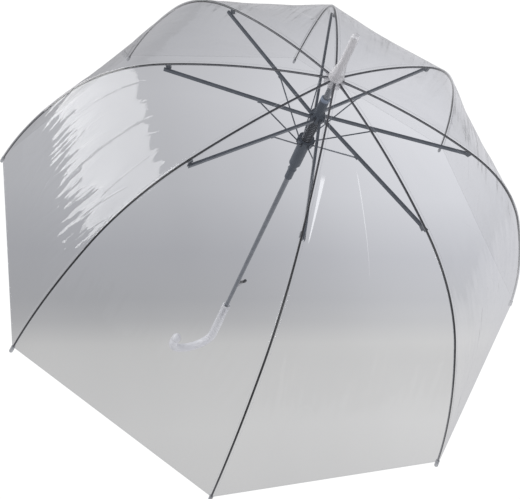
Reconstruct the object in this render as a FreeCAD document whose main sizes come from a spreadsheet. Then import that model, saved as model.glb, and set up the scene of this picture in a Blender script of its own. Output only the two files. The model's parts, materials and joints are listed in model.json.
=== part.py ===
"""Stick umbrella with a deep clear dome: eight curved ribs on a straight steel shaft.

Millimetres, +Z up along the shaft towards the ferrule, with the crook of the handle opening
towards +X. Every piece is drawn with heights measured from the rib pivots in the top notch;
the finished pieces are then raised together, so that the origin is in the middle of the grip.
"""
import FreeCAD, Part
import math
import os

import Sketcher
from FreeCAD import Placement, Rotation, Vector

SIZES = {
    # Ribs: three tangent arcs from the notch pivot out to the tip, seen in the rib's plane
    "rib_count": 8,
    "first_rib_angle": -30,
    "notch_pivot_radius": 9,
    "root_slope": 7.35,
    "crown_radius": 870,
    "crown_sweep": 13.5,
    "shoulder_radius": 290,
    "shoulder_sweep": 30.7,
    "skirt_radius": 870,
    "skirt_sweep": 14.6,
    "rib_radius": 1.3,
    "flex_gap": 1.1,
    "eye_radius": 1.7,
    "eye_hole_radius": 0.9,
    "pin_radius": 0.6,
    # Clear film
    "film_offset": 2.2,
    "film_thickness": 0.5,
    "film_end_gap": 7,
    # Rib end caps and the clips that take the stretchers
    "cap_radius": 2.7,
    "cap_length": 14,
    "cap_overlap": 6,
    "clip_length": 6.5,
    "clip_width": 3.2,
    "clip_height": 5.8,
    "clip_drop": 4.5,
    # Stretchers: channels beside the rib's plane, open underneath
    "side_offset": 4,
    "stretcher_width": 3.2,
    "stretcher_height": 3.6,
    "sheet_thickness": 0.6,
    "stretcher_overhang": 1.5,
    "strut_reach": 68,
    "strut_drop": 2.8,
    "lug_length": 6,
    "rivet_radius": 0.5,
    "strut_radius": 0.9,
    "strut_eye_radius": 1.4,
    "strut_eye_length": 1.9,
    "strut_hole_radius": 0.8,
    # Shaft and notch
    "shaft_radius": 4,
    "shaft_wall": 0.6,
    "shaft_top": 57,
    "shaft_bottom": -650,
    "notch_radius": 12.5,
    "notch_top": 1,
    "notch_bottom": -5,
    "notch_slot_bottom": 6.6,
    "notch_slot_width": 3.4,
    # Slots of the notch, the runner and the hub are cut this far, through their rings
    "slot_cut_length": 24,
    # Runner
    "slide_gap": 0.3,
    "runner_pivot_radius": 9.5,
    "runner_height": -61,
    "runner_ring_radius": 11,
    "runner_ring_height": 7,
    "runner_sleeve_radius": 6.2,
    "runner_top": -29,
    "runner_step": 2,
    "runner_lip": 1,
    "runner_slot_bottom": 6.8,
    "runner_slot_width": 4.2,
    # Lower hub with the spring barrel
    "hub_pivot_radius": 11,
    "hub_height": -107,
    "hub_ring_radius": 12.2,
    "hub_ring_height": 8,
    "hub_slot_bottom": 8.9,
    "hub_slot_width": 3,
    "hub_step": 3,
    "barrel_radius": 8.5,
    "barrel_bottom": -153,
    "pocket_radius": 7.6,
    "pocket_bottom": -141,
    "neck_radius": 5.6,
    "neck_bottom": -184,
    "bead_half_height": 2,
    "bead_radius": 6.6,
    "bead_height": -165,
    # Spring
    "spring_radius": 6.5,
    "spring_wire_radius": 0.75,
    "spring_pitch": 3,
    "spring_turns": 24,
    # Release catch
    "catch_pivot_height": -520,
    "catch_foot_drop": 3,
    "catch_foot_depth": 3,
    "catch_back_depth": 1.2,
    "catch_back_drop": 14,
    "catch_thickness": 1.2,
    "catch_top_depth": 5,
    "catch_top_drop": 2.5,
    "catch_corner_depth": 17,
    "catch_corner_drop": 3,
    "catch_nose_height": 7,
    "catch_nose_slant": 2,
    "catch_slot_width": 2,
    "catch_slot_top": -494,
    "catch_slot_bottom": -527,
    "trigger_width": 4.6,
    "trigger_reach": 1.5,
    "trigger_height": 6,
    "trigger_depth": 4,
    # Ferrule
    "ferrule_bottom": 3.3,
    "ferrule_cup_radius": 9.6,
    "ferrule_cup_height": 6,
    "ferrule_shoulder_height": 22,
    "ferrule_base_radius": 5.8,
    "ferrule_neck_height": 30,
    "ferrule_tip_radius": 4.9,
    "ferrule_top": 65,
    "ferrule_nose_height": 3,
    "ferrule_nose_inset": 1.6,
    # Handle
    "grip_top": -594,
    "grip_bottom": -734,
    "grip_top_radius": 8,
    "hook_tube_radius": 9.3,
    "hook_radius": 46.8,
    "hook_sweep": 190,
    "tail_length": 16,
    "plug_ring_height": 2,
    "plug_ring_radius": 10,
    # The notch's rib pivots above the middle of the grip
    "notch_rise": 664,
}

doc = FreeCAD.newDocument("stick_umbrella")
sheet = doc.addObject("Spreadsheet::Sheet", "dims")
for row, (alias, number) in enumerate(SIZES.items(), start=1):
    sheet.set(f"A{row}", alias)
    sheet.set(f"B{row}", str(number))
    sheet.setAlias(f"B{row}", alias)
doc.recompute()

parts = []


def size(alias):
    """A driving dimension, read from the sheet."""
    return float(sheet.get(alias))


def radians(alias):
    return math.radians(size(alias))


def bind(thing, **expressions):
    """Bind properties of a feature to expressions of the sheet's cells."""
    for name, text in expressions.items():
        words = text.split()
        bound = " ".join(f"dims.{w}" if w in SIZES else w for w in words)
        thing.setExpression(name, bound)
    return thing


def node(thing, label, placement=None):
    """Name a finished sub-part and put it in its place."""
    thing.Label = label
    if placement is not None:
        thing.Placement = placement
    parts.append(thing)
    return thing


def primitive(kind, placement=None, **expressions):
    """A Part primitive whose sizes follow the sheet."""
    thing = doc.addObject(f"Part::{kind}", kind.lower())
    bind(thing, **expressions)
    if placement is not None:
        thing.Placement = placement
    return thing


def fused(*shapes):
    thing = doc.addObject("Part::MultiFuse", "fused")
    thing.Shapes = list(shapes)
    return thing


def cut(base, tool):
    thing = doc.addObject("Part::Cut", "cut")
    thing.Base = base
    thing.Tool = tool
    return thing


# ---- PartDesign helpers ---------------------------------------------------------------


def new_body(label):
    thing = doc.addObject("PartDesign::Body", label)
    parts.append(thing)
    thing.Label = label
    return thing


def new_sketch(body, role, offset_z=None):
    """A sketch on one of the body's own origin planes, raised by an expression if given."""
    plane = next(f for f in body.Origin.OriginFeatures if f.Role == role)
    sketch = body.newObject("Sketcher::SketchObject", "sketch")
    sketch.AttachmentSupport = [(plane, "")]
    sketch.MapMode = "FlatFace"
    if offset_z is not None:
        bind(sketch, **{"AttachmentOffset.Base.z": offset_z})
    return sketch


def add_circle(sketch, expression):
    """A circle on the sketch's origin with its radius bound."""
    index = sketch.addGeometry(Part.Circle(Vector(0, 0, 0), Vector(0, 0, 1), 1), False)
    sketch.addConstraint(Sketcher.Constraint("Coincident", index, 3, -1, 1))
    constraint = sketch.addConstraint(Sketcher.Constraint("Radius", index, 1))
    bind(sketch, **{f"Constraints[{constraint}]": expression})


def add_outline(sketch, corners):
    """A closed outline of straight lines; each corner is a pair of expressions (x, y).

    Every corner is held by its distances from the sketch's axes.
    """
    start = sketch.GeometryCount
    numbers = [tuple(evaluate(text) for text in corner) for corner in corners]
    for i, (x, y) in enumerate(numbers):
        nx, ny = numbers[(i + 1) % len(numbers)]
        sketch.addGeometry(Part.LineSegment(Vector(x, y, 0), Vector(nx, ny, 0)), False)
    for i in range(len(corners)):
        here, after = start + i, start + (i + 1) % len(corners)
        sketch.addConstraint(Sketcher.Constraint("Coincident", here, 2, after, 1))
    for i, corner in enumerate(corners):
        for kind, text, value in zip(("DistanceX", "DistanceY"), corner, numbers[i]):
            c = sketch.addConstraint(Sketcher.Constraint(kind, -1, 1, start + i, 1, value))
            bind(sketch, **{f"Constraints[{c}]": text})


def evaluate(text):
    """The number that a sum of aliases, written with spaces, stands for."""
    total, sign, factor = 0.0, 1.0, 1.0
    words = text.split()
    i = 0
    while i < len(words):
        word = words[i]
        if word in ("+", "-"):
            sign = 1.0 if word == "+" else -1.0
        elif word in ("*", "/"):
            i += 1
            other = size(words[i]) if words[i] in SIZES else float(words[i])
            step = last * other if word == "*" else last / other
            total += step - last
            last = step
        else:
            last = sign * (size(word) if word in SIZES else float(word))
            total += last
        i += 1
    return total


def pad(body, sketch, length, midplane=False):
    thing = body.newObject("PartDesign::Pad", "pad")
    thing.Profile = sketch
    thing.Midplane = midplane
    bind(thing, Length=length)
    return thing


def pocket_through(body, sketch, length):
    """Cut both ways from the sketch, over a stated length."""
    thing = body.newObject("PartDesign::Pocket", "pocket")
    thing.Profile = sketch
    thing.Midplane = True
    bind(thing, Length=length)
    return thing


def polar(body, feature):
    """Repeat a feature round the shaft, once for each rib."""
    thing = body.newObject("PartDesign::PolarPattern", "around_shaft")
    thing.Originals = [feature]
    axis = next(f for f in body.Origin.OriginFeatures if f.Role == "Z_Axis")
    thing.Axis = (axis, [""])
    bind(thing, Angle="360", Occurrences="rib_count")
    body.Tip = thing
    return thing


def revolved(body, corners):
    """A full turn about the shaft of an outline of (radius, height) pairs."""
    sketch = new_sketch(body, "XZ_Plane")
    add_outline(sketch, corners)
    thing = body.newObject("PartDesign::Revolution", "turned")
    thing.Profile = sketch
    thing.ReferenceAxis = (sketch, ["V_Axis"])
    bind(thing, Angle="360")
    return thing


# ---- Rib curve ------------------------------------------------------------------------


def arcs_of_rib():
    """Each arc as (radius, slope at its start, slope at its end, centre (x, z))."""
    x, z, slope = size("notch_pivot_radius"), 0.0, radians("root_slope")
    found = []
    for name in ("crown", "shoulder", "skirt"):
        r, sweep = size(f"{name}_radius"), radians(f"{name}_sweep")
        centre = (x - r * math.sin(slope), z - r * math.cos(slope))
        found.append((r, slope, slope + sweep, centre))
        slope += sweep
        x, z = centre[0] + r * math.sin(slope), centre[1] + r * math.cos(slope)
    return found


CROWN, SHOULDER, SKIRT = arcs_of_rib()


def on_arc(arc, slope, outward=0.0):
    """The point of an arc at a slope, moved outward from the curve."""
    r, _, _, (cx, cz) = arc
    return Vector(cx + (r + outward) * math.sin(slope), 0, cz + (r + outward) * math.cos(slope))


CLIP_POINT = on_arc(SHOULDER, SHOULDER[1])
CLIP_SLOPE = SHOULDER[1]
TIP_POINT = on_arc(SKIRT, SKIRT[2])
TIP_SLOPE = SKIRT[2]
STRETCHER_END = on_arc(SHOULDER, CLIP_SLOPE, -size("clip_drop"))


def spoke(index):
    """The turn about the shaft that takes the +X half plane to a rib's plane."""
    angle = size("first_rib_angle") + index * 360 / size("rib_count")
    return Placement(Vector(0, 0, 0), Rotation(Vector(0, 0, 1), angle))


def slope_frame(point, slope):
    """A frame at a point whose X axis runs down the slope, in the rib's plane."""
    return Placement(point, Rotation(Vector(0, 1, 0), math.degrees(slope)))


def rod_along(arc, first, last):
    """A round rod along an arc of the rib, between two slopes."""
    r, _, _, centre = arc
    rod = primitive("Torus", Radius2="rib_radius")
    rod.Radius1 = r
    rod.Angle3 = math.degrees(last - first)
    turn = Rotation(Vector(0, -1, 0), 90 - math.degrees(last))
    rod.Placement = Placement(Vector(centre[0], 0, centre[1]), turn * Rotation(Vector(1, 0, 0), 90))
    return rod


def seat_along(bend, first, last):
    """The rib's own bent round in a slope frame, to cut the seat of what it carries."""
    r = size(bend)
    seat = rod_along((r, 0, 0, (0, -r)), first / r, last / r)
    bind(seat, Radius1=bend)
    return seat


ACROSS = Rotation(Vector(1, 0, 0), 90)  # lays a cylinder along -Y
ALONG = Rotation(Vector(0, 1, 0), 90)  # lays a cylinder along +X
HANGING = Rotation(Vector(1, 0, 0), -90)  # stands a ring on edge, its sweep starting downward


def across(x, z, half_length):
    """A cylinder's place when it lies across the rib's plane, centred on it."""
    return Placement(Vector(x, half_length, z), ACROSS)


# ---- Pieces of one spoke --------------------------------------------------------------


def make_rib(index):
    """Inner rib: from its eye on the notch pin to just short of the flex point."""
    gap = size("flex_gap") / 2 / size("crown_radius")
    start = radians("root_slope")
    rod = rod_along(CROWN, start, CROWN[2] - gap)
    bind(rod, Radius1="crown_radius")
    half = size("rib_radius")
    place = across(size("notch_pivot_radius"), 0, half)
    eye = primitive("Cylinder", place, Radius="eye_radius", Height="2 * rib_radius")
    hole = primitive("Cylinder", place, Radius="eye_hole_radius", Height="2 * rib_radius")
    node(cut(fused(rod, eye), hole), f"rib_{index + 1}", spoke(index))


def make_outer_rib(index):
    """Outer rib: shoulder and skirt, springy in the real frame."""
    gap = size("flex_gap") / 2 / size("shoulder_radius")
    shoulder = rod_along(SHOULDER, SHOULDER[1] + gap, SHOULDER[2])
    bind(shoulder, Radius1="shoulder_radius")
    skirt = rod_along(SKIRT, SKIRT[1], SKIRT[2])
    bind(skirt, Radius1="skirt_radius", Angle3="skirt_sweep")
    node(fused(shoulder, skirt), f"outer_rib_{index + 1}", spoke(index))


def make_rib_clip(index):
    """Saddle under the rib whose side carries the stretcher's end."""
    top = Vector(-size("clip_length") - size("flex_gap"), -size("clip_width") / 2,
                 -size("clip_height"))
    block = primitive("Box", Placement(top, Rotation()), Length="clip_length",
                      Width="clip_width", Height="clip_height")
    seat = seat_along("crown_radius", -2 * size("clip_length"), 2 * size("clip_length"))
    node(cut(block, seat), f"rib_clip_{index + 1}",
         spoke(index) * slope_frame(CLIP_POINT, CLIP_SLOPE))


def make_rib_cap(index):
    """Moulded cap on the rib's end, with a domed nose, which holds the film's corner."""
    back = Vector(-size("cap_overlap"), 0, 0)
    sleeve = primitive("Cylinder", Placement(back, ALONG), Radius="cap_radius",
                       Height="cap_length - cap_radius")
    nose_at = back + Vector(size("cap_length") - size("cap_radius"), 0, 0)
    nose = primitive("Sphere", Placement(nose_at, Rotation()), Radius="cap_radius")
    seat = seat_along("skirt_radius", -2 * size("cap_overlap"), 0)
    node(cut(fused(sleeve, nose), seat), f"rib_cap_{index + 1}",
         spoke(index) * slope_frame(TIP_POINT, TIP_SLOPE))


RUNNER_PIVOT = Vector(size("runner_pivot_radius"), size("side_offset"), size("runner_height"))
HUB_PIVOT = Vector(size("hub_pivot_radius"), size("side_offset"), size("hub_height"))
STRETCHER_RUN = STRETCHER_END + Vector(0, size("side_offset"), 0) - RUNNER_PIVOT
STRETCHER_SLOPE = math.atan2(-STRETCHER_RUN.z, STRETCHER_RUN.x)
STRETCHER_PLACE = slope_frame(RUNNER_PIVOT, STRETCHER_SLOPE)
STRUT_PIVOT = STRETCHER_PLACE.multVec(Vector(size("strut_reach"), 0, -size("strut_drop")))
STRUT_RUN = HUB_PIVOT - STRUT_PIVOT


def make_stretcher(index):
    """Folded steel channel from the runner to the rib's clip, with lugs for the strut."""
    length = STRETCHER_RUN.Length + 2 * size("stretcher_overhang")
    half_width, half_height = size("stretcher_width") / 2, size("stretcher_height") / 2
    wall = size("sheet_thickness")
    back = -size("stretcher_overhang")
    outside = primitive("Box", Placement(Vector(back, -half_width, -half_height), Rotation()),
                        Width="stretcher_width", Height="stretcher_height")
    inside = primitive("Box", Placement(Vector(back, wall - half_width, -half_height), Rotation()),
                       Width="stretcher_width - 2 * sheet_thickness",
                       Height="stretcher_height - sheet_thickness")
    outside.Length = inside.Length = length
    hole = primitive("Cylinder", across(0, 0, half_width), Radius="eye_hole_radius",
                     Height="stretcher_width")
    lugs = []
    for side in (-half_width, half_width - wall):
        low = -size("strut_drop") - size("strut_hole_radius")
        at = Vector(size("strut_reach") - size("lug_length") / 2, side, low)
        lugs.append(primitive("Box", Placement(at, Rotation()), Length="lug_length",
                              Width="sheet_thickness",
                              Height="strut_drop + strut_hole_radius"))
    rivet = primitive("Cylinder", across(size("strut_reach"), -size("strut_drop"), half_width),
                      Radius="rivet_radius", Height="stretcher_width")
    channel = cut(outside, fused(inside, hole))
    node(fused(channel, *lugs, rivet), f"stretcher_{index + 1}", spoke(index) * STRETCHER_PLACE)


def make_strut(index):
    """Steel wire from the stretcher's lugs down to the lower hub."""
    rod = primitive("Cylinder", Placement(Vector(), ALONG), Radius="strut_radius")
    rod.Height = STRUT_RUN.Length + size("strut_radius")
    place = across(0, 0, size("strut_eye_length") / 2)
    eye = primitive("Cylinder", place, Radius="strut_eye_radius", Height="strut_eye_length")
    hole = primitive("Cylinder", place, Radius="strut_hole_radius", Height="strut_eye_length")
    slope = math.atan2(-STRUT_RUN.z, STRUT_RUN.x)
    node(cut(fused(rod, eye), hole), f"strut_{index + 1}",
         spoke(index) * slope_frame(STRUT_PIVOT, slope))


# ---- Film -----------------------------------------------------------------------------


def make_canopy():
    """Eight welded panels of clear film, each ruled straight across between two ribs.

    The panels are ruled surfaces between two planes of arcs, which no body feature makes.
    """
    end_slope = SKIRT[2] - size("film_end_gap") / size("skirt_radius")
    inner, outer = size("film_offset"), size("film_offset") + size("film_thickness")

    def arc_edge(arc, first, last, outward):
        ends = [on_arc(arc, s, outward) for s in (first, (first + last) / 2, last)]
        return Part.Arc(*ends).toShape()

    def line_edge(arc, slope):
        return Part.LineSegment(on_arc(arc, slope, inner), on_arc(arc, slope, outer)).toShape()

    edges = [line_edge(CROWN, CROWN[1]), line_edge(SKIRT, end_slope)]
    for outward in (inner, outer):
        for arc, last in ((CROWN, CROWN[2]), (SHOULDER, SHOULDER[2]), (SKIRT, end_slope)):
            edges.append(arc_edge(arc, arc[1], last, outward))
    faces = []
    for index in range(int(size("rib_count"))):
        for edge in edges:
            here, there = edge.copy(), edge.copy()
            here.Placement = spoke(index)
            there.Placement = spoke(index + 1)
            faces.append(Part.makeRuledSurface(here, there))
    shell = Part.makeShell(faces)
    shell.sewShape()
    film = doc.addObject("Part::Feature", "canopy")
    film.Shape = Part.makeSolid(shell)
    node(film, "canopy")


# ---- Shaft, notch, ferrule ------------------------------------------------------------


def make_shaft():
    body = new_body("shaft")
    sketch = new_sketch(body, "XY_Plane", "shaft_bottom")
    add_circle(sketch, "shaft_radius")
    add_circle(sketch, "shaft_radius - shaft_wall")
    pad(body, sketch, "shaft_top - shaft_bottom")
    # Window for the release catch, in the wall away from the crook
    window = new_sketch(body, "XZ_Plane")
    add_outline(window, [("- 2 * shaft_radius", "catch_slot_bottom"),
                         ("0 - shaft_wall", "catch_slot_bottom"),
                         ("0 - shaft_wall", "catch_slot_top"),
                         ("- 2 * shaft_radius", "catch_slot_top")])
    pocket_through(body, window, "catch_slot_width")


def slotted(body, slot_bottom, ring_radius, slot_width, middle, height):
    """Cut one slot per rib into a ring, open outward, above and below."""
    sketch = new_sketch(body, "XY_Plane", height)
    low, high = f"{middle} - {slot_width} / 2", f"{middle} + {slot_width} / 2"
    out = f"{ring_radius} * 2"
    add_outline(sketch, [(slot_bottom, low), (out, low), (out, high), (slot_bottom, high)])
    polar(body, pocket_through(body, sketch, "slot_cut_length"))


def make_top_notch():
    body = new_body("top_notch")
    revolved(body, [("shaft_radius", "notch_bottom"), ("notch_radius", "notch_bottom"),
                    ("notch_radius", "notch_top"), ("shaft_radius", "notch_top")])
    slotted(body, "notch_slot_bottom", "notch_radius", "notch_slot_width", "0", "0")
    body.Placement = spoke(0)


def make_pins(label, x, middle, height, length):
    """Hinge pins, one across each slot of a ring, from wall to wall."""
    pins = []
    for index in range(int(size("rib_count"))):
        at = Vector(x, middle + size(length) / 2, height)
        place = spoke(index) * Placement(at, ACROSS)
        pins.append(primitive("Cylinder", place, Radius="pin_radius", Height=length))
    group = doc.addObject("Part::Compound", label)
    group.Links = pins
    node(group, label)


def make_ferrule():
    """Long plastic tip: a shallow cup over the film, then a slim taper on the shaft's end."""
    body = new_body("ferrule")
    revolved(body, [("shaft_radius", "ferrule_bottom"),
                    ("ferrule_cup_radius", "ferrule_bottom"),
                    ("ferrule_cup_radius", "ferrule_cup_height"),
                    ("ferrule_base_radius", "ferrule_shoulder_height"),
                    ("ferrule_tip_radius", "ferrule_neck_height"),
                    ("ferrule_tip_radius", "ferrule_top - ferrule_nose_height"),
                    ("ferrule_tip_radius - ferrule_nose_inset", "ferrule_top"),
                    ("0", "ferrule_top"), ("0", "shaft_top"), ("shaft_radius", "shaft_top")])


# ---- Runner, lower hub, spring --------------------------------------------------------


def make_runner():
    """Ring that carries the stretchers, with a sleeve above it."""
    body = new_body("runner")
    half = "runner_ring_height / 2"
    bore = "shaft_radius + slide_gap"
    revolved(body, [(bore, f"runner_height - {half}"),
                    ("runner_ring_radius", f"runner_height - {half}"),
                    ("runner_ring_radius", f"runner_height + {half}"),
                    ("runner_sleeve_radius", f"runner_height + {half} + runner_step"),
                    ("runner_sleeve_radius", "runner_top - runner_lip"),
                    ("runner_sleeve_radius - runner_lip", "runner_top"),
                    (bore, "runner_top")])
    slotted(body, "runner_slot_bottom", "runner_ring_radius", "runner_slot_width",
            "side_offset", "runner_height")
    body.Placement = spoke(0)


def make_lower_hub():
    """Strut ring, spring barrel and slim neck in one moulding."""
    body = new_body("lower_hub")
    half = "hub_ring_height / 2"
    bore = "shaft_radius + slide_gap"
    revolved(body, [("pocket_radius", f"hub_height + {half}"),
                    ("hub_ring_radius", f"hub_height + {half}"),
                    ("hub_ring_radius", f"hub_height - {half}"),
                    ("barrel_radius", f"hub_height - {half} - hub_step"),
                    ("barrel_radius", "barrel_bottom"),
                    ("neck_radius", "barrel_bottom - hub_step"),
                    ("neck_radius", "bead_height + bead_half_height"),
                    ("bead_radius", "bead_height"),
                    ("neck_radius", "bead_height - bead_half_height"),
                    ("neck_radius", "neck_bottom"),
                    (bore, "neck_bottom"),
                    (bore, "pocket_bottom"),
                    ("pocket_radius", "pocket_bottom")])
    slotted(body, "hub_slot_bottom", "hub_ring_radius", "hub_slot_width",
            "side_offset", "hub_height")
    body.Placement = spoke(0)


def make_spring():
    """Opening spring on the shaft, from the runner down into the barrel.

    A helix swept by its wire's section; its length is the turns times the pitch.
    """
    pitch, wire = size("spring_pitch"), size("spring_wire_radius")
    height = pitch * size("spring_turns")
    helix = Part.makeHelix(pitch, height, size("spring_radius"))
    section = Part.Wire(Part.Circle(Vector(size("spring_radius"), 0, 0),
                                    Vector(0, 1, 0), wire).toShape())
    coil = doc.addObject("Part::Feature", "main_spring")
    coil.Shape = Part.Wire(helix.Edges).makePipeShell([section], True, True)
    bottom = size("runner_height") - size("runner_ring_height") / 2 - height - 2 * wire
    node(coil, "main_spring", Placement(Vector(0, 0, bottom), Rotation()))


# ---- Release catch --------------------------------------------------------------------


def make_release_catch():
    """Thin sprung blade in the shaft's window, with a trigger on its outer corner."""
    body = new_body("release_catch")
    blade = new_sketch(body, "XZ_Plane")
    foot = "catch_pivot_height - catch_foot_drop"
    corner = "catch_slot_top - catch_corner_drop"
    nose = f"{corner} - catch_nose_height"
    add_outline(blade, [("0 - catch_back_depth", foot), ("0 - catch_foot_depth", foot),
                        ("catch_nose_slant - catch_corner_depth", nose),
                        ("0 - catch_corner_depth", corner),
                        ("0 - catch_top_depth", "catch_slot_top - catch_top_drop"),
                        ("0 - catch_back_depth", "catch_slot_top - catch_back_drop")])
    pad(body, blade, "catch_thickness", midplane=True)
    trigger = new_sketch(body, "XZ_Plane")
    outer = "0 - catch_corner_depth - trigger_reach"
    low = f"{corner} - trigger_height"
    add_outline(trigger, [(f"{outer} + catch_nose_slant + trigger_depth", low),
                          (f"{outer} + catch_nose_slant", low),
                          (outer, corner),
                          (f"{outer} + trigger_depth", corner)])
    pad(body, trigger, "trigger_width", midplane=True)


# ---- Handle ---------------------------------------------------------------------------


def hook_end():
    """The frame at the hook's end, whose Z axis points along the tail."""
    turn = radians("hook_sweep")
    r = size("hook_radius")
    at = Vector(r - r * math.cos(turn), 0, size("grip_bottom") - r * math.sin(turn))
    along = Vector(math.sin(turn), 0, -math.cos(turn))
    return Placement(at, Rotation(Vector(0, 0, 1), along))


HOOK_END = hook_end()


def make_handle():
    """Crook handle: a tapered grip, a half-turn hook and a short tail."""
    grip = primitive("Cone", Radius1="hook_tube_radius", Radius2="grip_top_radius",
                     Height="grip_top - grip_bottom")
    grip.Placement = Placement(Vector(0, 0, size("grip_bottom")), Rotation())
    hook = primitive("Torus", Radius1="hook_radius", Radius2="hook_tube_radius",
                     Angle3="hook_sweep")
    centre = Vector(size("hook_radius"), 0, size("grip_bottom"))
    # The hook's sweep starts at the grip, on the -X side, and runs down and round
    hook.Placement = Placement(centre, Rotation(Vector(0, 0, 1), 180) * HANGING)
    tail = primitive("Cylinder", HOOK_END, Radius="hook_tube_radius", Height="tail_length")
    bore = primitive("Cylinder", Radius="shaft_radius", Height="grip_top - shaft_bottom")
    bore.Placement = Placement(Vector(0, 0, size("shaft_bottom")), Rotation())
    node(cut(fused(grip, hook, tail), bore), "handle")


def make_handle_plug():
    """Domed plug with a thin collar that closes the handle's tube."""
    start = HOOK_END * Placement(Vector(0, 0, size("tail_length")), Rotation())
    collar = primitive("Cylinder", start, Radius="plug_ring_radius", Height="plug_ring_height")
    dome_at = start * Placement(Vector(0, 0, size("plug_ring_height")), Rotation())
    dome = primitive("Sphere", dome_at, Radius="hook_tube_radius")
    dome.Angle1 = 0
    node(fused(collar, dome), "handle_plug")


for spoke_index in range(int(size("rib_count"))):
    make_rib(spoke_index)
    make_outer_rib(spoke_index)
    make_rib_clip(spoke_index)
    make_rib_cap(spoke_index)
    make_stretcher(spoke_index)
    make_strut(spoke_index)
make_canopy()
make_shaft()
make_top_notch()
make_pins("notch_pins", size("notch_pivot_radius"), 0, 0, "notch_slot_width")
make_ferrule()
make_runner()
make_pins("runner_pins", RUNNER_PIVOT.x, RUNNER_PIVOT.y, RUNNER_PIVOT.z, "runner_slot_width")
make_lower_hub()
make_spring()
make_release_catch()
make_handle()
make_handle_plug()

RAISED = Placement(Vector(0, 0, size("notch_rise")), Rotation())
for thing in parts:
    thing.Placement = RAISED * thing.Placement
doc.recompute()

failed = [o.Label for o in doc.Objects if {"Invalid", "Error"} & set(o.State)]
if failed:
    raise RuntimeError(f"features that did not recompute: {failed}")
for thing in parts:
    if thing.Shape.isNull() or not thing.Shape.isValid():
        raise RuntimeError(f"{thing.Label} has no valid shape")

os.makedirs("parts", exist_ok=True)
for thing in parts:
    thing.Shape.exportStep(f"parts/{thing.Label}.step")
    print(f"{thing.Label}: {thing.Shape.Volume:.1f} mm3, {len(thing.Shape.Solids)} solid(s)")
print(len(parts), "sub-parts")
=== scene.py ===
"""Looks of a stick umbrella with a clear dome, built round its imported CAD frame. Metres."""

import json
import math

import bpy
from mathutils import Matrix, Vector, noise


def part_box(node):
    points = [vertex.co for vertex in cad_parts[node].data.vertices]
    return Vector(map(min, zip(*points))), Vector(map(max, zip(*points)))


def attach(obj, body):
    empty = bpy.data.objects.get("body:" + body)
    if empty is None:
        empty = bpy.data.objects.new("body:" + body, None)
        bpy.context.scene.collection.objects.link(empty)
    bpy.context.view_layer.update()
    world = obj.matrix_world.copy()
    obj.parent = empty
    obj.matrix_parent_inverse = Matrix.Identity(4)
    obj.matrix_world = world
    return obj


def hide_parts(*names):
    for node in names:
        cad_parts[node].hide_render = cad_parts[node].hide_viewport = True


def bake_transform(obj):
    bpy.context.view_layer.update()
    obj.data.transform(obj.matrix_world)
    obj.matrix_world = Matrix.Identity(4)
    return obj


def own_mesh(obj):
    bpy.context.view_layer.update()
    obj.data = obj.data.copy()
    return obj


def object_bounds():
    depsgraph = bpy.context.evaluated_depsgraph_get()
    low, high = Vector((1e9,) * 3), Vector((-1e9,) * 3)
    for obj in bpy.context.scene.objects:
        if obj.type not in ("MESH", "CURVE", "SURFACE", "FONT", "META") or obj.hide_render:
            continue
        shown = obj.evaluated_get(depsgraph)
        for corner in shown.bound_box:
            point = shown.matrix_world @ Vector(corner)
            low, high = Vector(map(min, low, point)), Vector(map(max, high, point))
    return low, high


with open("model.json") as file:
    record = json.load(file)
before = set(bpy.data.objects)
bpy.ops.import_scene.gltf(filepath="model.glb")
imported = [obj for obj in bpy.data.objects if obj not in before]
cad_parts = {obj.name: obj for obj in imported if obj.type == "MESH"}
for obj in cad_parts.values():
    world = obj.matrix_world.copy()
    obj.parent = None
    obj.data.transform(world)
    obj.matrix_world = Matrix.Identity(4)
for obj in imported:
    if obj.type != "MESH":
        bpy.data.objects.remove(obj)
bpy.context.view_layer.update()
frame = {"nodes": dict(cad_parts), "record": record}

# ---- Dimensions that the frame's nodes share ------------------------------------------

MM = 0.001
RIBS = 8
STEP = 2 * math.pi / RIBS
FIRST = math.radians(-30)
NOTCH_RISE = 0.664
PIVOT_RADIUS = 9 * MM
ROOT_SLOPE = math.radians(7.35)
ARCS = ((0.870, math.radians(13.5)), (0.290, math.radians(30.7)), (0.870, math.radians(14.6)))
CLIP_RUN = ARCS[0][0] * ARCS[0][1]
RIB_RUN = sum(radius * sweep for radius, sweep in ARCS)
RIB_RADIUS = 1.3 * MM
FILM_OUT = 2.45 * MM
FILM_END = RIB_RUN - 7 * MM
HALF_PANEL = math.sin(STEP / 2)


def along_rib(run, outward=0.0):
    """Radius, height and slope of the rib's curve at a length along it from its pivot."""
    x, z, slope = PIVOT_RADIUS, NOTCH_RISE, ROOT_SLOPE
    for index, (radius, sweep) in enumerate(ARCS):
        length = radius * sweep
        part = sweep if run > length and index < len(ARCS) - 1 else run / radius
        x += radius * (math.sin(slope + part) - math.sin(slope))
        z -= radius * (math.cos(slope) - math.cos(slope + part))
        slope += part
        if run <= length or index == len(ARCS) - 1:
            break
        run -= length
    return x + outward * math.sin(slope), z + outward * math.cos(slope), slope


def spoke_point(index, run, outward=0.0, aside=0.0):
    """A point at a rib, set off from its curve in the rib's plane and across it."""
    angle = FIRST + index * STEP
    radius, height, _ = along_rib(run, outward)
    return Vector((radius * math.cos(angle) - aside * math.sin(angle),
                   radius * math.sin(angle) + aside * math.cos(angle), height))


def smooth(low, high, value):
    share = min(1.0, max(0.0, (value - low) / (high - low)))
    return share * share * (3 - 2 * share)


# ---- Mesh helpers ---------------------------------------------------------------------


def new_object(name, vertices, faces, material):
    mesh = bpy.data.meshes.new(name)
    mesh.from_pydata(vertices, [], faces)
    mesh.update()
    mesh.polygons.foreach_set("use_smooth", [True] * len(mesh.polygons))
    thing = bpy.data.objects.new(name, mesh)
    bpy.context.scene.collection.objects.link(thing)
    mesh.materials.append(material)
    return thing


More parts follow.
